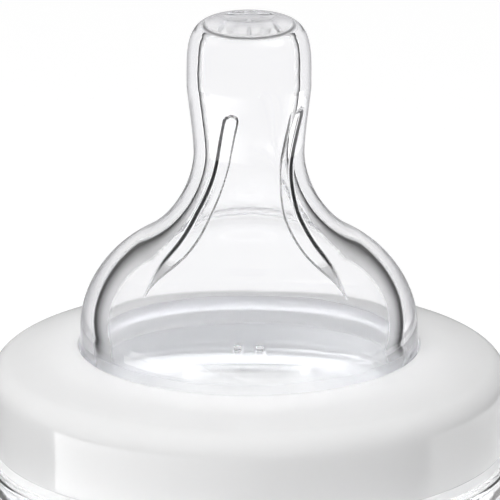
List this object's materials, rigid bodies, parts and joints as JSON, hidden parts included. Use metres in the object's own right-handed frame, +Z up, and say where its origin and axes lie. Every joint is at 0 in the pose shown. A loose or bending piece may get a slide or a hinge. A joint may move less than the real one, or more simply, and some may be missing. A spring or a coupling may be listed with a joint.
{
  "type": "baby bottle",
  "caption": "Wide-neck baby bottle: waisted clear body, clear silicone teat with twisted inner ribs, and a screw ring that lifts the teat as it unscrews.",
  "frame": {"origin": "centre of the base, on the surface that the bottle stands on", "axes": "+Z up along the bottle's axis; the front faces -Y, and the teat's vent slots face +Y"},
  "size_m": [0.071, 0.071, 0.1683],
  "materials": {
    "clear_plastic": "clear polypropylene, glossy, faintly milky",
    "clear_silicone": "clear liquid silicone rubber, glossy",
    "ring_plastic": "white polypropylene, satin",
    "scale_ink": "printed volume scale"
  },
  "bodies": {
    "bottle": {"bottle_body": "clear_plastic"},
    "teat": {"teat": "clear_silicone"},
    "ring": {"screw_ring": "ring_plastic"}
  },
  "joints": [
    {"name": "ring_turn", "type": "hinge", "parent": "teat", "child": "ring", "pos_m": [0, 0, 0.116], "axis": [0, 0, 1], "range_deg": [0, 405]},
    {"name": "ring_rise", "type": "slide", "parent": "bottle", "child": "teat", "axis": [0, 0, 1], "range_m": [0, 0.00405]}
  ],
  "couplings": [
    {"joint": "ring_turn", "follows": "ring_rise", "rad_per_m": 1745.3}
  ]
}
